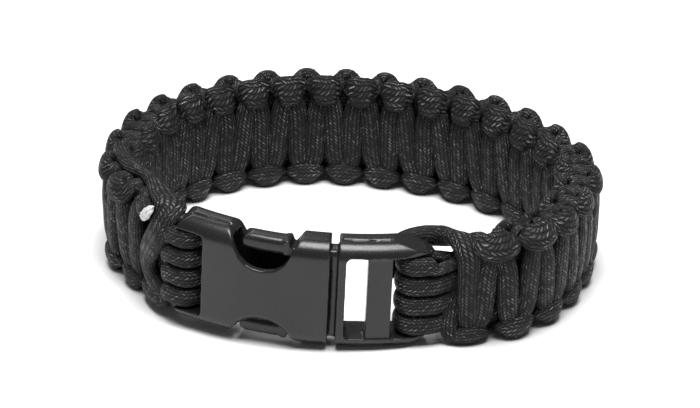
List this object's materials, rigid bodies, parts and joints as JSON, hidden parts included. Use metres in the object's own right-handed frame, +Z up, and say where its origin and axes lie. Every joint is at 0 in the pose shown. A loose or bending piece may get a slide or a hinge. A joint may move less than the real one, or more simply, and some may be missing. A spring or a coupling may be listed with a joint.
{
  "type": "paracord bracelet",
  "caption": "Closed woven cord bracelet with a curved side-release buckle, lying on its side as a whole loop.",
  "frame": {"origin": "middle of the bounding box, on the ground that the bracelet lies on", "axes": "+Z up, along the wrist's axis and the band's height; -Y towards the buckle; +X towards the plug half and its rails"},
  "size_m": [0.0978, 0.0754, 0.0241],
  "materials": {
    "cord": "braided nylon sheath, black with grey flecks",
    "buckle": "satin moulded plastic, dark grey",
    "melted_end": "white melted nylon"
  },
  "bodies": {
    "root": {"socket_buckle": "buckle", "plug_buckle": "buckle", "woven_band": "cord", "lead_strand": "cord", "cut_end": "melted_end", "socket_loop_1": "cord", "socket_loop_2": "cord", "socket_loop_3": "cord", "socket_loop_4": "cord", "plug_loop_1": "cord", "plug_loop_2": "cord", "plug_loop_3": "cord", "plug_loop_4": "cord"}
  },
  "joints": []
}
